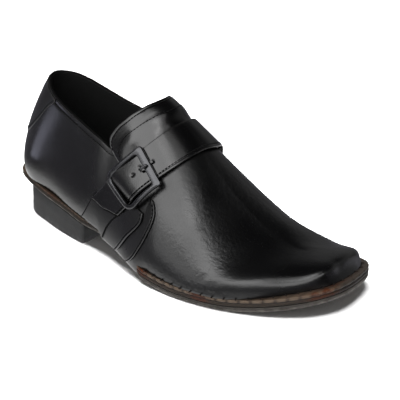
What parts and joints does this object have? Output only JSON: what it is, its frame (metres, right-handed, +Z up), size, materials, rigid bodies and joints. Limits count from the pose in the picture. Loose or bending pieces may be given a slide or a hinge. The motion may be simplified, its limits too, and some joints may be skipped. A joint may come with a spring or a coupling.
{
  "type": "buckle shoe",
  "caption": "Slip-on leather shoe with a square toe, a flap over the throat, a strap that a buckle fastens on the outer side, a stitched welt and a low heel.",
  "frame": {"origin": "centre of the bounding box in plan, on the floor under the shoe", "axes": "+X from the heel to the toe, +Y to the inner side of the foot, +Z up"},
  "size_m": [0.2962, 0.1106, 0.1161],
  "materials": {
    "outsole_rubber": "matte grey-brown",
    "welt_leather": "waxed brown edge",
    "heel_rubber": "matte dark grey",
    "insole_lining": "matte black",
    "upper_leather": "polished black",
    "buckle_metal": "polished dark grey"
  },
  "bodies": {
    "root": {"outsole": "outsole_rubber", "welt": "welt_leather", "heel": "heel_rubber", "insole": "insole_lining", "upper": "upper_leather", "tongue_flap": "upper_leather", "strap": "upper_leather", "strap_base": "upper_leather", "facing": "upper_leather", "heel_tab": "upper_leather", "buckle_frame": "buckle_metal", "buckle_prong": "buckle_metal"}
  },
  "joints": []
}
